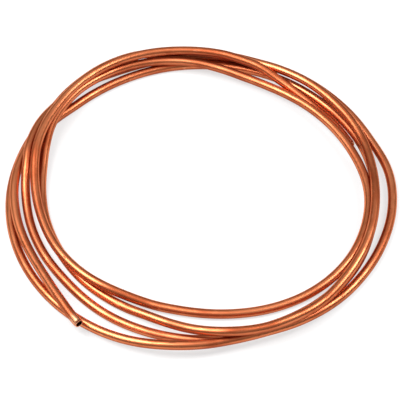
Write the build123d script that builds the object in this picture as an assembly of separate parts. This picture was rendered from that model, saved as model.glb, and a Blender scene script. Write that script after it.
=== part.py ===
from build123d import *
import math
import os

# Sizes in millimetres: quarter inch soft copper tube.
tube_od = 6.35
tube_wall = 0.8
tube_bore = tube_od - 2 * tube_wall

# The coil: one turn of the winding has this radius at lane 0, measured to the tube's centre.
winding_radius = 123.0
turn_gap = 0.3
turn_pitch = tube_od + turn_gap

# Each corner of the route is rounded over this share of the shorter run beside it.
corner_share = 0.45
corner_step = 12.0  # degrees round the coil from one corner to the next

# Copper's density, for the printed weight, in kilograms per cubic millimetre.
copper_density = 8.94e-6

# The route as it lies: degrees counted round the coil seen from above, from the right side,
# then the lane outwards and the layer upwards, both in turn pitches.
stations = [
    # End B lies low at the right, the tube climbs over the back and comes down at the front left.
    (23, -0.45, 0), (42, -0.45, 0), (53, -0.4, 0.55), (61, -0.25, 1.15), (68, 0, 1.75),
    (75, 0.2, 2), (82, 0.5, 2.1), (95, 0.85, 2.15), (108, 1.15, 2.15), (120, 1.1, 2.2),
    (133, 0.55, 2.4), (144, 0, 2.45), (156, -0.5, 2.45), (166, -0.95, 2.3), (176, -1.45, 1.7),
    (186, -1.85, 1.3), (196, -2.15, 1.1), (212, -2.45, 1.1), (224, -2.75, 1.1), (234, -3.1, 1.02),
    (243, -3.6, 0.5), (252, -3.85, 0.1), (264, -3.8, 0), (280, -3.25, 0), (300, -2.25, 0),
    (310, -1.7, 0.1), (320, -1.15, 0.4), (330, -0.75, 0.75), (342, -0.6, 0.9),
    # Second turn: over the right side, across the back, down to the floor at the left.
    (360, -0.6, 0.85), (380, -1.1, 0.9), (400, -1.35, 0.8), (420, -1.35, 0.6), (432, -1.1, 0.65),
    (441, -0.65, 0.85), (450, -0.05, 1), (460, 0.5, 1.05), (471, 0.87, 1.1), (481, 0.92, 1.15),
    (492, 0.65, 1.34), (502, 0.1, 1.4), (511, -0.5, 1.35), (521, -1.3, 0.9), (530, -1.85, 0.4),
    (545, -2.35, 0), (565, -2.7, 0), (585, -2.7, 0), (605, -2.6, 0), (612, -2.4, 0.2),
    (620, -1.8, 0.6), (630, -0.75, 1.3), (640, 0.15, 1.92), (650, 0.45, 1.75), (660, 0.55, 1.65),
    (670, 0.5, 1.4), (682, 0.25, 1.35), (697, 0.15, 1.6), (717, 0.05, 1.65),
    # Third turn: over the front crossing and the right side, then down to the floor at the back.
    (730, 0.25, 1.25), (740, 0.55, 1.1), (750, 0.7, 1.28), (760, 0.72, 1.5), (770, 0.8, 1.6),
    (782, 0.83, 1.48), (790, 1, 1.2), (800, 1.3, 1.05), (812, 1.55, 1), (822, 1.85, 1.05),
    (829, 2.3, 1), (835, 2.55, 0.75), (841, 2.75, 0.3), (847, 2.6, 0.05), (854, 2.2, 0),
    (862, 1.65, 0), (875, 1.2, 0), (905, 1.1, 0), (940, 1.1, 0), (958, 1.1, 0.15), (970, 1.1, 0.5),
    (982, 0.95, 0.9), (992, 0.7, 0.95), (1001, 0.37, 0.8), (1011, 0.3, 0.7), (1021, 0.57, 0.6),
    (1031, 0.77, 0.35), (1042, 0.95, 0), (1060, 1.45, 0), (1076, 1.95, 0),
    # Fourth turn: on the floor at the right, over the others at the back left, under at the front.
    (1089, 2.15, 0), (1102, 1.85, 0), (1114, 1.72, 0.3), (1128, 1.52, 0.7), (1142, 1.6, 0.6),
    (1160, 1.7, 0.1), (1180, 1.8, 0), (1192, 1.6, 0.1), (1200, 1.5, 0.3), (1211, 1.5, 0.75),
    (1221, 1.1, 0.95), (1233, 0.6, 1.7), (1244, 0.1, 1.9), (1249, -0.2, 1.65), (1254, -0.35, 1.15),
    (1262, -0.6, 0.45), (1270, -0.8, 0.1), (1284, -1.1, 0), (1300, -1.3, 0), (1320, -0.95, 0),
    (1340, -0.6, 0), (1350, -0.45, 0), (1360, -0.5, 0), (1370, -0.6, 0), (1380, -0.45, 0),
    (1390, -0.25, 0), (1400, -0.1, 0), (1412, 0, 0), (1430, 0, 0),
    # Fifth turn: innermost on the floor, then up at the left to end A at the front left.
    (1440, 0.25, 0), (1452, 0.5, 0), (1464, 0.65, 0), (1482, 0.66, 0), (1502, 0.75, 0),
    (1520, 0.65, 0), (1540, 0.5, 0), (1560, 0.2, 0), (1576, 0.1, 0), (1588, 0.25, 0.45),
    (1600, 0.6, 0.85), (1615, 0.7, 0.95), (1630, 0.45, 0.85), (1645, 0.2, 0.8), (1656, 0.35, 1),
    (1666, 1, 1.27), (1676.2, 2.08, 1.38),
]


def slopes(column):
    """The slope of one column at each station, taken from its two neighbours."""
    last = len(stations) - 1
    result = []
    for i in range(last + 1):
        low = stations[max(i - 1, 0)]
        high = stations[min(i + 1, last)]
        result.append((high[column] - low[column]) / (high[0] - low[0]))
    return result


lane_slopes = slopes(1)
layer_slopes = slopes(2)


def eased(angle, column, slope):
    """A column's value between its stations, with no kink at any of them."""
    i = 0
    while i < len(stations) - 2 and stations[i + 1][0] <= angle:
        i += 1
    a, b = stations[i], stations[i + 1]
    h = b[0] - a[0]
    t = (angle - a[0]) / h
    rise = (2 * t**3 - 3 * t**2 + 1) * a[column] + (3 * t**2 - 2 * t**3) * b[column]
    return rise + h * ((t**3 - 2 * t**2 + t) * slope[i] + (t**3 - t**2) * slope[i + 1])


def route_corner(angle, half_step):
    """A corner outside the round line, so that the runs between corners touch the line."""
    radius = winding_radius + turn_pitch * eased(angle, 1, lane_slopes)
    radius = radius / math.cos(half_step)
    height = tube_od / 2 + turn_pitch * max(0.0, eased(angle, 2, layer_slopes))
    turn = math.radians(angle)
    return Vector(radius * math.cos(turn), radius * math.sin(turn), height)


first_angle = stations[0][0]
last_angle = stations[-1][0]
corner_count = round((last_angle - first_angle) / corner_step)
even_step = (last_angle - first_angle) / corner_count
half_step = math.radians(even_step / 2)
corners = []
for n in range(corner_count + 1):
    corners.append(route_corner(first_angle + n * even_step, half_step))

# Each arc is as large as its two runs allow.
radii = []
for n in range(1, corner_count):
    run_in = corners[n] - corners[n - 1]
    run_out = corners[n + 1] - corners[n]
    half_turn = math.radians(run_in.get_angle(run_out)) / 2
    radii.append(corner_share * min(run_in.length, run_out.length) / math.tan(half_turn))

# One hollow tube runs the whole way, cut square at both ends.
route = FilletPolyline(*corners, radius=radii)
start_plane = Plane(origin=corners[0], z_dir=corners[1] - corners[0])
wall_section = start_plane * (Circle(tube_od / 2) - Circle(tube_bore / 2))
copper_tube = sweep(wall_section, path=route)

# The coil stands with its lowest point at height 0 and its box centred over the origin.
box = copper_tube.bounding_box()
to_origin = Vector(-box.center().X, -box.center().Y, -box.min.Z)
copper_tube = Pos(to_origin) * copper_tube
copper_tube.label = "copper_tube"

os.makedirs("parts", exist_ok=True)
export_step(copper_tube, "parts/copper_tube.step")

section_area = math.pi * (tube_od**2 - tube_bore**2) / 4
print("corners", len(corners), "radii from", round(min(radii), 1), "to", round(max(radii), 1))
print("length", round(route.length, 1), "section times length", round(section_area * route.length))
print("volume", round(copper_tube.volume), "weight", round(copper_tube.volume * copper_density, 3))
print("size", box.size, "moved by", to_origin)
for name, tip, inner, beyond in (("B", *corners[:3]), ("A", *corners[:-4:-1])):
    out = (tip - inner).normalized()
    arc_start = corner_share * min((tip - inner).length, (inner - beyond).length)
    print("end", name, "at", tip + to_origin, "pointing", out, "straight", (tip - inner).length - arc_start)
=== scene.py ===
"""A loose coil of soft copper tube on a pale floor, in the frame of its CAD model."""

import math
import random

import bpy
import numpy as np
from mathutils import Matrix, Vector


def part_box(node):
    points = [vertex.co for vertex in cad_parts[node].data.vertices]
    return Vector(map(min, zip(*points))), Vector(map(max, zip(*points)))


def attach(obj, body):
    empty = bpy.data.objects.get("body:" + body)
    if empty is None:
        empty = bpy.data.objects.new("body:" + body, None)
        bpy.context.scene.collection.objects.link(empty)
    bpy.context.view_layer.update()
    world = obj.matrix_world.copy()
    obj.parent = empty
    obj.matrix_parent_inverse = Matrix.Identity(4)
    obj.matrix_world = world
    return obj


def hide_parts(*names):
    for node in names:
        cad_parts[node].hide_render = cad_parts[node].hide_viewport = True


bl_info = {
    "name": "Copper Tube Coil",
    "version": (1, 0, 0),
    "blender": (4, 5, 0),
    "location": "3D View > Sidebar > Tube Coil",
    "description": "Winds a loose coil of copper tube, finishes it and lights it on a pale floor",
    "category": "Add Mesh",
}

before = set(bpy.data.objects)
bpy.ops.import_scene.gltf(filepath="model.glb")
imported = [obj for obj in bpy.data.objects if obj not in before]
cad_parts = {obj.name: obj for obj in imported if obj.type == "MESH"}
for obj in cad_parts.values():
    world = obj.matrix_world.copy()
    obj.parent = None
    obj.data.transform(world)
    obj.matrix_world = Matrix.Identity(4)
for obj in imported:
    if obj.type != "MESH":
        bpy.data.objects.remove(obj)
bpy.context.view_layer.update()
tube_low, tube_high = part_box("copper_tube")
MM = 0.001
PHOTO_SIDE = 400
BREAK_EDGE = 0.25 * MM
FLOOR_REACH = 6.0

# The worn stretch at each end of the tube: fully worn up to the first length, gone at the second.
WORN_FULL = 3 * MM
WORN_GONE = 9 * MM

# How the pressing of the bends comes and goes along the tube: the seed, and the waves per metre.
PRESS_SEED = 4
PRESS_WAVES = (21.0, 53.0, 97.0)

# The camera aims at the centre of the winding, which is a little off the centre of the coil's box.
WINDING_CENTRE = (-3.107 * MM, -3.285 * MM, 0.0)

# Each softbox: its name, its place, its two sides and its share of the softbox power.
SOFTBOXES = [
    ("softbox_left", (-0.50, -0.10, 0.92), (0.64, 0.62), 1.0),
    ("softbox_right", (0.68, 0.02, 0.84), (0.32, 0.52), 0.5),
]

# The route as it lies, as in the part's source: degrees counted round the coil seen from above,
# then the lane outwards and the layer upwards, both in turn pitches.
STATIONS = [
    # End B lies low at the right, the tube climbs over the back and comes down at the front left.
    (23, -0.45, 0), (42, -0.45, 0), (53, -0.4, 0.55), (61, -0.25, 1.15), (68, 0, 1.75),
    (75, 0.2, 2), (82, 0.5, 2.1), (95, 0.85, 2.15), (108, 1.15, 2.15), (120, 1.1, 2.2),
    (133, 0.55, 2.4), (144, 0, 2.45), (156, -0.5, 2.45), (166, -0.95, 2.3), (176, -1.45, 1.7),
    (186, -1.85, 1.3), (196, -2.15, 1.1), (212, -2.45, 1.1), (224, -2.75, 1.1), (234, -3.1, 1.02),
    (243, -3.6, 0.5), (252, -3.85, 0.1), (264, -3.8, 0), (280, -3.25, 0), (300, -2.25, 0),
    (310, -1.7, 0.1), (320, -1.15, 0.4), (330, -0.75, 0.75), (342, -0.6, 0.9),
    # Second turn: over the right side, across the back, down to the floor at the left.
    (360, -0.6, 0.85), (380, -1.1, 0.9), (400, -1.35, 0.8), (420, -1.35, 0.6), (432, -1.1, 0.65),
    (441, -0.65, 0.85), (450, -0.05, 1), (460, 0.5, 1.05), (471, 0.87, 1.1), (481, 0.92, 1.15),
    (492, 0.65, 1.34), (502, 0.1, 1.4), (511, -0.5, 1.35), (521, -1.3, 0.9), (530, -1.85, 0.4),
    (545, -2.35, 0), (565, -2.7, 0), (585, -2.7, 0), (605, -2.6, 0), (612, -2.4, 0.2),
    (620, -1.8, 0.6), (630, -0.75, 1.3), (640, 0.15, 1.92), (650, 0.45, 1.75), (660, 0.55, 1.65),
    (670, 0.5, 1.4), (682, 0.25, 1.35), (697, 0.15, 1.6), (717, 0.05, 1.65),
    # Third turn: over the front crossing and the right side, then down to the floor at the back.
    (730, 0.25, 1.25), (740, 0.55, 1.1), (750, 0.7, 1.28), (760, 0.72, 1.5), (770, 0.8, 1.6),
    (782, 0.83, 1.48), (790, 1, 1.2), (800, 1.3, 1.05), (812, 1.55, 1), (822, 1.85, 1.05),
    (829, 2.3, 1), (835, 2.55, 0.75), (841, 2.75, 0.3), (847, 2.6, 0.05), (854, 2.2, 0),
    (862, 1.65, 0), (875, 1.2, 0), (905, 1.1, 0), (940, 1.1, 0), (958, 1.1, 0.15), (970, 1.1, 0.5),
    (982, 0.95, 0.9), (992, 0.7, 0.95), (1001, 0.37, 0.8), (1011, 0.3, 0.7), (1021, 0.57, 0.6),
    (1031, 0.77, 0.35), (1042, 0.95, 0), (1060, 1.45, 0), (1076, 1.95, 0),
    # Fourth turn: on the floor at the right, over the others at the back left, under at the front.
    (1089, 2.15, 0), (1102, 1.85, 0), (1114, 1.72, 0.3), (1128, 1.52, 0.7), (1142, 1.6, 0.6),
    (1160, 1.7, 0.1), (1180, 1.8, 0), (1192, 1.6, 0.1), (1200, 1.5, 0.3), (1211, 1.5, 0.75),
    (1221, 1.1, 0.95), (1233, 0.6, 1.7), (1244, 0.1, 1.9), (1249, -0.2, 1.65), (1254, -0.35, 1.15),
    (1262, -0.6, 0.45), (1270, -0.8, 0.1), (1284, -1.1, 0), (1300, -1.3, 0), (1320, -0.95, 0),
    (1340, -0.6, 0), (1350, -0.45, 0), (1360, -0.5, 0), (1370, -0.6, 0), (1380, -0.45, 0),
    (1390, -0.25, 0), (1400, -0.1, 0), (1412, 0, 0), (1430, 0, 0),
    # Fifth turn: innermost on the floor, then up at the left to end A at the front left.
    (1440, 0.25, 0), (1452, 0.5, 0), (1464, 0.65, 0), (1482, 0.66, 0), (1502, 0.75, 0),
    (1520, 0.65, 0), (1540, 0.5, 0), (1560, 0.2, 0), (1576, 0.1, 0), (1588, 0.25, 0.45),
    (1600, 0.6, 0.85), (1615, 0.7, 0.95), (1630, 0.45, 0.85), (1645, 0.2, 0.8), (1656, 0.35, 1),
    (1666, 1, 1.27), (1676.2, 2.08, 1.38),
]

# Small dents: degrees along the route, degrees round the tube from its outer side over its top,
# then length, width and depth in millimetres.
DENTS = [
    (601, 70, 5.0, 2.2, 0.22),
    (983, 100, 4.0, 1.8, 0.25),
    (1020, 80, 4.5, 2.0, 0.2),
    (672, 85, 4.0, 1.6, 0.25),
    (1652, 40, 6.0, 2.5, 0.2),
    (322, 110, 5.0, 2.4, 0.16),
    (905, 60, 7.0, 3.0, 0.18),
    (1078, 75, 6.0, 2.6, 0.2),
    (412, 95, 5.0, 2.0, 0.16),
    (128, 120, 6.0, 2.4, 0.18),
    (560, 60, 5.0, 2.2, 0.18),
    (1290, 85, 4.5, 2.0, 0.2),
]


class TubeSettings(bpy.types.PropertyGroup):
    """Sizes of the tube and of its winding."""

    outside: bpy.props.FloatProperty(
        name="Outside diameter", description="The tube's width over its wall",
        default=6.35 * MM, min=1 * MM, unit="LENGTH", precision=5)
    wall: bpy.props.FloatProperty(
        name="Wall", description="Thickness of the tube's wall",
        default=0.8 * MM, min=0.1 * MM, unit="LENGTH", precision=5)
    winding: bpy.props.FloatProperty(
        name="Winding radius", description="Radius of a turn at lane 0, to the tube's centre",
        default=123.0 * MM, min=20 * MM, unit="LENGTH", precision=5)
    pitch: bpy.props.FloatProperty(
        name="Turn pitch", description="Distance from a turn's centre to the next lane's centre",
        default=6.65 * MM, min=1 * MM, unit="LENGTH", precision=5)
    ring_step: bpy.props.FloatProperty(
        name="Ring step", description="Degrees round the coil from ring to ring of the mesh",
        default=0.75, min=0.25, max=5.0)
    sides: bpy.props.IntProperty(
        name="Sides", description="Points round each outer ring",
        default=32, min=8, max=64)
    bore_sides: bpy.props.IntProperty(
        name="Bore sides", description="Points round each ring of the bore",
        default=16, min=8, max=64)
    out_of_round: bpy.props.FloatProperty(
        name="Out of round", description="How far the bending pressed the tube off a true circle",
        default=0.03 * MM, min=0.0, unit="LENGTH", precision=5)


class FinishSettings(bpy.types.PropertyGroup):
    """Colours and gloss of the copper."""

    bright: bpy.props.FloatVectorProperty(
        name="Bright copper", description="Clean drawn copper",
        subtype="COLOR", size=3, min=0.0, max=1.0, default=(0.83, 0.262, 0.108))
    warm: bpy.props.FloatVectorProperty(
        name="Warm copper", description="Copper that has darkened a little in the air",
        subtype="COLOR", size=3, min=0.0, max=1.0, default=(0.60, 0.140, 0.046))
    # This brown is used for real film and marks, and also as painted shade on the tube's
    # downward-facing sides.
    tarnish_and_shade: bpy.props.FloatVectorProperty(
        name="Tarnish", description="Brown film in patches and old handling marks",
        subtype="COLOR", size=3, min=0.0, max=1.0, default=(0.26, 0.034, 0.006))
    bore: bpy.props.FloatVectorProperty(
        name="Bore", description="Dull copper inside the tube",
        subtype="COLOR", size=3, min=0.0, max=1.0, default=(0.30, 0.085, 0.035))
    cut: bpy.props.FloatVectorProperty(
        name="Cut face", description="Fresh metal at the sawn ends",
        subtype="COLOR", size=3, min=0.0, max=1.0, default=(0.86, 0.40, 0.22))
    roughness: bpy.props.FloatProperty(
        name="Roughness", description="Roughness of the clean drawn surface",
        default=0.32, min=0.0, max=1.0, subtype="FACTOR")


class StageSettings(bpy.types.PropertyGroup):
    """Floor, lamps and the camera's place."""

    floor: bpy.props.FloatVectorProperty(
        name="Floor", description="Colour of the floor",
        subtype="COLOR", size=3, min=0.0, max=1.0, default=(0.92, 0.92, 0.92))
    floor_lift: bpy.props.FloatProperty(
        name="Floor lift", description="How far the floor is lifted to plain white",
        default=0.65, min=0.0, max=1.0, subtype="FACTOR")
    room_low: bpy.props.FloatProperty(
        name="Low room light", description="Strength of the light from the walls of the room",
        default=0.06, min=0.0)
    room_high: bpy.props.FloatProperty(
        name="High room light", description="Strength of the light from the ceiling",
        default=0.54, min=0.0)
    softbox: bpy.props.FloatProperty(
        name="Softbox power", description="Power in watts, which each softbox has its share of",
        default=12.0, min=0.0)
    elevation: bpy.props.FloatProperty(
        name="Camera height angle", description="Angle of the camera above the floor",
        default=math.radians(51.0), subtype="ANGLE")
    distance: bpy.props.FloatProperty(
        name="Camera distance", description="From the camera to the middle of the coil",
        default=1.0412, unit="LENGTH")
    focal_length: bpy.props.FloatProperty(
        name="Focal length", description="Focal length of the camera in millimetres",
        default=133.9, min=1.0)


def eased_column(angles, column):
    """One column of the stations at each angle, with no kink between the stations."""
    xs = np.array([station[0] for station in STATIONS], float)
    ys = np.array([station[column] for station in STATIONS], float)
    slope = np.empty(len(xs))
    slope[1:-1] = (ys[2:] - ys[:-2]) / (xs[2:] - xs[:-2])
    slope[0] = (ys[1] - ys[0]) / (xs[1] - xs[0])
    slope[-1] = (ys[-1] - ys[-2]) / (xs[-1] - xs[-2])
    i = np.clip(np.searchsorted(xs, angles, side="right") - 1, 0, len(xs) - 2)
    h = xs[i + 1] - xs[i]
    t = (angles - xs[i]) / h
    rise = (2 * t**3 - 3 * t**2 + 1) * ys[i] + (3 * t**2 - 2 * t**3) * ys[i + 1]
    return rise + h * ((t**3 - 2 * t**2 + t) * slope[i] + (t**3 - t**2) * slope[i + 1])


def tube_route(sizes):
    """The centre line of the tube, its angles and its length so far, inside the CAD box."""
    first, last = STATIONS[0][0], STATIONS[-1][0]
    count = int(round((last - first) / sizes.ring_step)) + 1
    angles = np.linspace(first, last, count)
    radius = sizes.winding + sizes.pitch * eased_column(angles, 1)
    height = sizes.outside / 2 + sizes.pitch * np.maximum(0.0, eased_column(angles, 2))
    turn = np.radians(angles)
    centre = np.column_stack((radius * np.cos(turn), radius * np.sin(turn), height))
    half = sizes.outside / 2
    low, high = centre.min(axis=0), centre.max(axis=0)
    for axis in range(3):
        room = (tube_high[axis] - tube_low[axis]) - 2 * half
        centre[:, axis] -= (low[axis] + high[axis]) / 2
        centre[:, axis] *= room / (high[axis] - low[axis])
        centre[:, axis] += (tube_low[axis] + tube_high[axis]) / 2
    steps = np.linalg.norm(np.diff(centre, axis=0), axis=1)
    along = np.concatenate(([0.0], np.cumsum(steps)))
    return angles, centre, along


def ring_axes(centre):
    """At each point of the route: the outer side and the top of the tube."""
    way = np.gradient(centre, axis=0)
    way /= np.linalg.norm(way, axis=1)[:, None]
    side = np.cross(way, (0.0, 0.0, 1.0))
    side /= np.linalg.norm(side, axis=1)[:, None]
    return side, np.cross(side, way)


def dent_depth(angles, along, clock, half):
    """How far a tube of that half width is pressed in at each ring and clock angle."""
    depth = np.zeros((len(angles), len(clock)))
    for place, round_tube, length, width, deep in DENTS:
        here = np.interp(place, angles, along)
        down = np.exp(-(((along - here) / (length * MM / 2)) ** 2))
        turn = (clock - math.radians(round_tube) + math.pi) % (2 * math.pi) - math.pi
        across = np.exp(-((turn * half / (width * MM / 2)) ** 2))
        depth += deep * MM * down[:, None] * across[None, :]
    return depth


def rings(centre, side, top, radius, clock):
    """Points of the rings, ring by ring, for a radius given at each point."""
    out = side[:, None, :] * np.cos(clock)[None, :, None]
    out = out + top[:, None, :] * np.sin(clock)[None, :, None]
    return centre[:, None, :] + out * radius[:, :, None]


def skin(first, count, sides, flip):
    """Quads between count rings of the given sides whose first point has the index first."""
    faces = []
    for i in range(count - 1):
        for k in range(sides):
            a = first + i * sides + k
            b = first + i * sides + (k + 1) % sides
            quad = (a, a + sides, b + sides, b)
            faces.append(quad[::-1] if flip else quad)
    return faces


def copper_tube_mesh(sizes):
    """The whole tube as one closed skin: outside, two cut faces with broken edges, and the bore."""
    angles, centre, along = tube_route(sizes)
    side, top = ring_axes(centre)
    clock = np.linspace(0.0, 2 * math.pi, sizes.sides, endpoint=False)
    spread = random.Random(PRESS_SEED)
    phases = [spread.uniform(0.0, 2 * math.pi) for _ in PRESS_WAVES]
    waves = [np.sin(along * rate + phase) for rate, phase in zip(PRESS_WAVES, phases)]
    press = sum(waves) / len(PRESS_WAVES)
    half = sizes.outside / 2
    radius = half - sizes.out_of_round * (0.6 + 0.4 * press)[:, None] * np.sin(clock)[None, :] ** 2
    radius = radius - dent_depth(angles, along, clock, half)
    radius[0] -= BREAK_EDGE
    radius[-1] -= BREAK_EDGE
    outside = rings(centre, side, top, radius, clock)
    points = [outside.reshape(-1, 3)]
    faces = skin(0, len(angles), sizes.sides, False)
    space = [tube_space(along, clock, radius)]

    every_third = np.arange(0, len(angles), 3)
    bore_rows = np.unique(np.concatenate((every_third, [len(angles) - 1])))
    bore_clock = np.linspace(0.0, 2 * math.pi, sizes.bore_sides, endpoint=False)
    bore_radius = np.full((len(bore_rows), sizes.bore_sides), half - sizes.wall)
    bore = rings(centre[bore_rows], side[bore_rows], top[bore_rows], bore_radius, bore_clock)
    bore_first = outside.shape[0] * sizes.sides
    points.append(bore.reshape(-1, 3))
    faces += skin(bore_first, len(bore_rows), sizes.bore_sides, True)
    space.append(tube_space(along[bore_rows], bore_clock, bore_radius))

    share = sizes.sides // sizes.bore_sides
    last_ring = (len(angles) - 1) * sizes.sides
    last_bore = bore_first + (len(bore_rows) - 1) * sizes.bore_sides
    for outer, inner, flip in ((0, bore_first, True), (last_ring, last_bore, False)):
        for k in range(sizes.bore_sides):
            rim = [outer + (k * share + j) % sizes.sides for j in range(share + 1)]
            mouth = [inner + (k + 1) % sizes.bore_sides, inner + k]
            face = rim + mouth
            faces.append(tuple(face[::-1] if flip else face))
    return np.concatenate(points), faces, np.concatenate(space), bore_first


def tube_space(along, clock, radius):
    """Where each point is on the tube: its length from end B, and its place across the tube."""
    rows, sides = radius.shape
    result = np.empty((rows, sides, 3))
    result[:, :, 0] = along[:, None]
    result[:, :, 1] = radius * np.cos(clock)[None, :]
    result[:, :, 2] = radius * np.sin(clock)[None, :]
    return result.reshape(-1, 3)


class Shade:
    """A shader socket that takes part in Python sums, each of which adds its Math node."""

    def __init__(self, tree, socket):
        self.tree = tree
        self.socket = socket

    def math(self, operation, *others, flip=False, clamp=False):
        node = self.tree.nodes.new("ShaderNodeMath")
        node.operation = operation
        node.use_clamp = clamp
        values = [self, *others]
        if flip:
            values.reverse()
        for socket, value in zip(node.inputs, values):
            if isinstance(value, Shade):
                self.tree.links.new(value.socket, socket)
            else:
                socket.default_value = value
        return Shade(self.tree, node.outputs[0])

    def __add__(self, other):
        return self.math("ADD", other)

    def __radd__(self, other):
        return self.math("ADD", other, flip=True)

    def __sub__(self, other):
        return self.math("SUBTRACT", other)

    def __rsub__(self, other):
        return self.math("SUBTRACT", other, flip=True)

    def __mul__(self, other):
        return self.math("MULTIPLY", other)

    def __rmul__(self, other):
        return self.math("MULTIPLY", other, flip=True)

    def between(self, low, high):
        """0 below low, 1 above high, and eased from one to the other."""
        node = self.tree.nodes.new("ShaderNodeMapRange")
        node.interpolation_type = "SMOOTHSTEP"
        self.tree.links.new(self.socket, node.inputs["Value"])
        node.inputs["From Min"].default_value = low
        node.inputs["From Max"].default_value = high
        return Shade(self.tree, node.outputs["Result"])


class MaterialTree:
    """The nodes of one material."""

    def __init__(self, name):
        self.material = bpy.data.materials.new(name)
        self.material.use_nodes = True
        self.tree = self.material.node_tree
        self.tree.nodes.clear()

    def node(self, kind, settings=None, out=0, **inputs):
        """One node: its settings first, then the values or links of its sockets by name."""
        node = self.tree.nodes.new(kind)
        for key, value in (settings or {}).items():
            setattr(node, key, value)
        for key, value in inputs.items():
            wanted = key.replace("_", " ")
            socket = next(s for s in node.inputs if s.name == wanted and s.enabled)
            if isinstance(value, Shade):
                self.tree.links.new(value.socket, socket)
            else:
                socket.default_value = value
        return Shade(self.tree, node.outputs[out])

    def stretched(self, vector, scale):
        """A vector with each of its parts multiplied."""
        return self.node_at("ShaderNodeVectorMath", {"operation": "MULTIPLY"}, [vector, scale])

    def node_at(self, kind, settings, values, out=0):
        """One node whose sockets are filled in order."""
        node = self.tree.nodes.new(kind)
        for key, value in settings.items():
            setattr(node, key, value)
        for socket, value in zip(node.inputs, values):
            if isinstance(value, Shade):
                self.tree.links.new(value.socket, socket)
            else:
                socket.default_value = value
        return Shade(self.tree, node.outputs[out])

    def noise(self, vector, scale, detail=3.0, roughness=0.5, distortion=0.0):
        return self.node("ShaderNodeTexNoise", Vector=self.stretched(vector, scale), Scale=1.0,
                         Detail=detail, Roughness=roughness, Distortion=distortion)

    def colour_mix(self, factor, first, second):
        """The first colour where the factor is 0, the second where it is 1."""
        node = self.tree.nodes.new("ShaderNodeMix")
        node.data_type = "RGBA"
        sockets = (node.inputs[0], node.inputs[6], node.inputs[7])
        for socket, value in zip(sockets, (factor, first, second)):
            if isinstance(value, Shade):
                self.tree.links.new(value.socket, socket)
            elif socket.type == "RGBA":
                socket.default_value = (*value[:3], 1.0)
            else:
                socket.default_value = value
        return Shade(self.tree, node.outputs[2])

    def surface(self, shader):
        output = self.tree.nodes.new("ShaderNodeOutputMaterial")
        self.tree.links.new(shader.socket, output.inputs["Surface"])
        return self.material


def drawn_copper(finish, length):
    """The tube's outside: drawn copper with fine lines, a brown film in patches, small marks, and
    painted shade on the sides that face down.
    """
    m = MaterialTree("drawn_copper")
    place = m.node("ShaderNodeAttribute", {"attribute_name": "tube_space"}, out=1)
    along = m.node_at("ShaderNodeSeparateXYZ", {}, [place])
    worn_last = along.between(length - WORN_GONE, length - WORN_FULL)
    handled = worn_last + (1 - along.between(WORN_FULL, WORN_GONE))
    lines = m.noise(place, (14.0, 2600.0, 2600.0), detail=4.0, roughness=0.6)
    broad_lines = m.noise(place, (6.0, 700.0, 700.0), detail=3.0)
    cloud = m.noise(place, (26.0, 110.0, 110.0), detail=5.0, roughness=0.62, distortion=0.4)
    tone = m.noise(place, (9.0, 40.0, 40.0), detail=2.0)
    patches = m.noise(place, (70.0, 260.0, 260.0), detail=6.0, roughness=0.66)
    grain = m.noise(place, (900.0, 1200.0, 1200.0), detail=4.0, roughness=0.7)
    spots = m.noise(place, (210.0, 420.0, 420.0), detail=2.0)
    rubs = m.noise(place, (160.0, 900.0, 300.0), detail=2.0, distortion=1.5)

    facing = m.node("ShaderNodeNewGeometry", out=1)
    upward = m.node_at("ShaderNodeSeparateXYZ", {}, [facing], out=2)
    # Painted shade: a mask of the sides that face down, which darkens them as if they lay in shade.
    downward_shade_mask = 1 - upward.between(-0.15, 0.50)
    film = cloud.between(0.46, 0.68) * 0.75 + patches.between(0.52, 0.72) * 0.35
    streak = broad_lines.between(0.5, 0.66)
    speck = spots.between(0.70, 0.76)
    rub = rubs.between(0.66, 0.72)
    darkened = cloud.between(0.40, 0.62) * 0.6 + tone.between(0.42, 0.6) * 0.4
    colour = m.colour_mix(darkened, finish.bright, finish.warm)
    colour = m.colour_mix(streak * 0.45, colour, finish.warm)
    colour = m.colour_mix(film * 0.55, colour, finish.tarnish_and_shade)
    # Painted shade: the tarnish colour laid over the downward-facing sides, patchy with the cloud
    # noise, standing in for the shade under the tube.
    painted_underside_shade = downward_shade_mask * (cloud.between(0.3, 0.6) * 0.32 + 0.50)
    colour = m.colour_mix(painted_underside_shade, colour, finish.tarnish_and_shade)
    colour = m.colour_mix(speck * 0.6, colour, finish.tarnish_and_shade)
    colour = m.colour_mix(rub * 0.35, colour, finish.cut)
    colour = m.colour_mix(handled * patches.between(0.25, 0.5) * 0.85, colour, finish.cut)
    rough = finish.roughness + film * 0.12 + grain.between(0.4, 0.7) * 0.05
    rough = rough + lines.between(0.45, 0.7) * 0.06 + speck * 0.15
    relief = lines * 0.35 + grain * 0.15 + patches * 0.35 - speck * 0.4 + rub * 0.1
    normal = m.node("ShaderNodeBump", Strength=0.13, Distance=0.00006, Height=relief)
    shader = m.node("ShaderNodeBsdfPrincipled", Base_Color=colour, Roughness=rough, Metallic=1.0,
                    Coat_Weight=0.25, Coat_Roughness=0.30,
                    Specular_Tint=(0.92, 0.55, 0.38, 1.0), Normal=normal)
    return m.surface(shader)


def bore_copper(finish):
    """The dull inside of the tube."""
    m = MaterialTree("bore_copper")
    place = m.node("ShaderNodeAttribute", {"attribute_name": "tube_space"}, out=1)
    cloud = m.noise(place, (60.0, 400.0, 400.0), detail=4.0)
    colour = m.colour_mix(cloud.between(0.4, 0.65), finish.bore, finish.tarnish_and_shade)
    rough = 0.45 + cloud * 0.25
    normal = m.node("ShaderNodeBump", Strength=0.3, Distance=0.00005, Height=cloud)
    shader = m.node("ShaderNodeBsdfPrincipled", Base_Color=colour, Roughness=rough,
                    Metallic=1.0, Normal=normal)
    return m.surface(shader)


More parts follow.
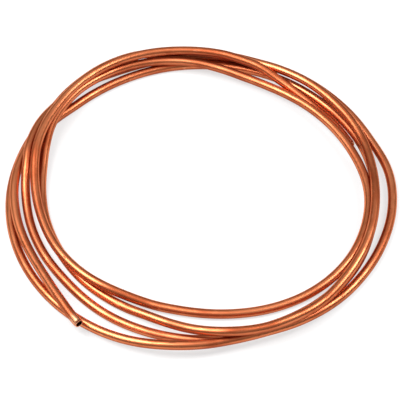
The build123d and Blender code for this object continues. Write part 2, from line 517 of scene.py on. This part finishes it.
def cut_copper(finish):
    """The sawn faces of the two ends, bright, with the saw's fine lines across them."""
    m = MaterialTree("cut_copper")
    place = m.node("ShaderNodeAttribute", {"attribute_name": "tube_space"}, out=1)
    saw = m.noise(place, (1.0, 9000.0, 900.0), detail=3.0)
    colour = m.colour_mix(saw.between(0.42, 0.62), finish.cut, finish.bright)
    rough = 0.3 + saw * 0.2
    normal = m.node("ShaderNodeBump", Strength=0.4, Distance=0.00004, Height=saw)
    shader = m.node("ShaderNodeBsdfPrincipled", Base_Color=colour, Roughness=rough,
                    Metallic=1.0, Normal=normal)
    return m.surface(shader)


def floor_finish(stage):
    """Plain pale floor, lifted towards white for the eye and in reflections, its shadows kept."""
    m = MaterialTree("pale_floor")
    lit = m.node("ShaderNodeBsdfPrincipled", Base_Color=(*stage.floor, 1.0), Roughness=0.9)
    white = m.node("ShaderNodeEmission", Color=(1.0, 1.0, 1.0, 1.0), Strength=1.0)
    path = m.tree.nodes.new("ShaderNodeLightPath")
    rays = ("Is Camera Ray", "Is Glossy Ray", "Is Transmission Ray")
    seen = [Shade(m.tree, path.outputs[name]) for name in rays]
    lift = seen[0].math("MAXIMUM", seen[1]).math("MAXIMUM", seen[2]) * stage.floor_lift
    return m.surface(m.node_at("ShaderNodeMixShader", {}, [lift, lit, white]))


def studio_room(stage):
    """Plain white light that is stronger from the ceiling than from the walls."""
    world = bpy.data.worlds.new("studio")
    world.use_nodes = True
    tree = world.node_tree
    place = tree.nodes.new("ShaderNodeTexCoord")
    parts = tree.nodes.new("ShaderNodeSeparateXYZ")
    tree.links.new(place.outputs["Generated"], parts.inputs[0])
    upward = Shade(tree, parts.outputs["Z"]).between(0.1, 0.95)
    strength = upward * (stage.room_high - stage.room_low) + stage.room_low
    light = tree.nodes["Background"]
    light.inputs["Color"].default_value = (1.0, 1.0, 1.0, 1.0)
    tree.links.new(strength.socket, light.inputs["Strength"])
    return world


class COIL_OT_tube(bpy.types.Operator):
    """Wind the copper tube along its route and finish it"""

    bl_idname = "tube_coil.tube"
    bl_label = "Wind the Tube"

    def execute(self, context):
        sizes = context.scene.tube_sizes
        finish = context.scene.tube_finish
        points, faces, space, bore_first = copper_tube_mesh(sizes)
        mesh = bpy.data.meshes.new("copper_tube_skin")
        mesh.from_pydata(points.tolist(), [], faces)
        attribute = mesh.attributes.new("tube_space", "FLOAT_VECTOR", "POINT")
        attribute.data.foreach_set("vector", space.astype(np.float32).ravel())
        length = float(space[:, 0].max())
        for material in (drawn_copper(finish, length), bore_copper(finish), cut_copper(finish)):
            mesh.materials.append(material)
        for face in mesh.polygons:
            inside = [v >= bore_first for v in face.vertices]
            face.material_index = 1 if all(inside) else 2 if any(inside) else 0
            face.use_smooth = face.material_index != 2
        mesh.update()
        tube = bpy.data.objects.new("copper_tube_coil", mesh)
        context.scene.collection.objects.link(tube)
        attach(tube, "root")
        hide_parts("copper_tube")
        return {"FINISHED"}


def softbox(context, name, place, size, power):
    """One soft lamp that faces the middle of the floor."""
    lamp = bpy.data.lights.new(name, "AREA")
    lamp.shape = "RECTANGLE"
    lamp.size, lamp.size_y = size
    lamp.energy = power
    holder = bpy.data.objects.new(name, lamp)
    holder.location = place
    holder.rotation_euler = (-Vector(place)).to_track_quat("-Z", "Y").to_euler()
    context.scene.collection.objects.link(holder)


class COIL_OT_stage(bpy.types.Operator):
    """Lay the pale floor, hang the lamps and set up the camera"""

    bl_idname = "tube_coil.stage"
    bl_label = "Set the Stage"

    def execute(self, context):
        stage = context.scene.tube_stage
        scene = context.scene
        mesh = bpy.data.meshes.new("floor")
        reach = FLOOR_REACH
        corners = [(-reach, -reach, 0), (reach, -reach, 0), (reach, reach, 0), (-reach, reach, 0)]
        mesh.from_pydata(corners, [], [(0, 1, 2, 3)])
        mesh.materials.append(floor_finish(stage))
        floor = bpy.data.objects.new("floor", mesh)
        scene.collection.objects.link(floor)

        for name, place, size, share in SOFTBOXES:
            softbox(context, name, place, size, stage.softbox * share)

        scene.world = studio_room(stage)

        middle = Vector(WINDING_CENTRE)
        back = Vector((0.0, -math.cos(stage.elevation), math.sin(stage.elevation)))
        lens = bpy.data.cameras.new("camera")
        lens.sensor_width = 36.0
        lens.lens = stage.focal_length
        lens.shift_x = 2.8 / PHOTO_SIDE
        lens.shift_y = -1.0 / PHOTO_SIDE
        lens.clip_end = 50.0
        camera = bpy.data.objects.new("camera", lens)
        camera.location = middle + back * stage.distance
        camera.rotation_euler = (-back).to_track_quat("-Z", "Y").to_euler()
        scene.collection.objects.link(camera)
        scene.camera = camera
        scene.view_settings.view_transform = "Standard"
        return {"FINISHED"}


class COIL_PT_panel(bpy.types.Panel):
    """The steps that make the coil, with their sizes and colours"""

    bl_idname = "COIL_PT_panel"
    bl_label = "Copper Tube Coil"
    bl_space_type = "VIEW_3D"
    bl_region_type = "UI"
    bl_category = "Tube Coil"

    def draw(self, context):
        scene = context.scene
        for settings, operator in ((scene.tube_sizes, "tube_coil.tube"), (scene.tube_finish, None),
                                   (scene.tube_stage, "tube_coil.stage")):
            box = self.layout.box()
            for name in settings.__annotations__:
                box.prop(settings, name)
            if operator:
                box.operator(operator)


CLASSES = (TubeSettings, FinishSettings, StageSettings, COIL_OT_tube, COIL_OT_stage, COIL_PT_panel)


def register():
    for cls in CLASSES:
        bpy.utils.register_class(cls)
    bpy.types.Scene.tube_sizes = bpy.props.PointerProperty(type=TubeSettings)
    bpy.types.Scene.tube_finish = bpy.props.PointerProperty(type=FinishSettings)
    bpy.types.Scene.tube_stage = bpy.props.PointerProperty(type=StageSettings)


def unregister():
    del bpy.types.Scene.tube_stage
    del bpy.types.Scene.tube_finish
    del bpy.types.Scene.tube_sizes
    for cls in reversed(CLASSES):
        bpy.utils.unregister_class(cls)


def main():
    register()
    bpy.ops.tube_coil.tube()
    bpy.ops.tube_coil.stage()
    bpy.context.view_layer.update()


if __name__ == "__main__":
    main()
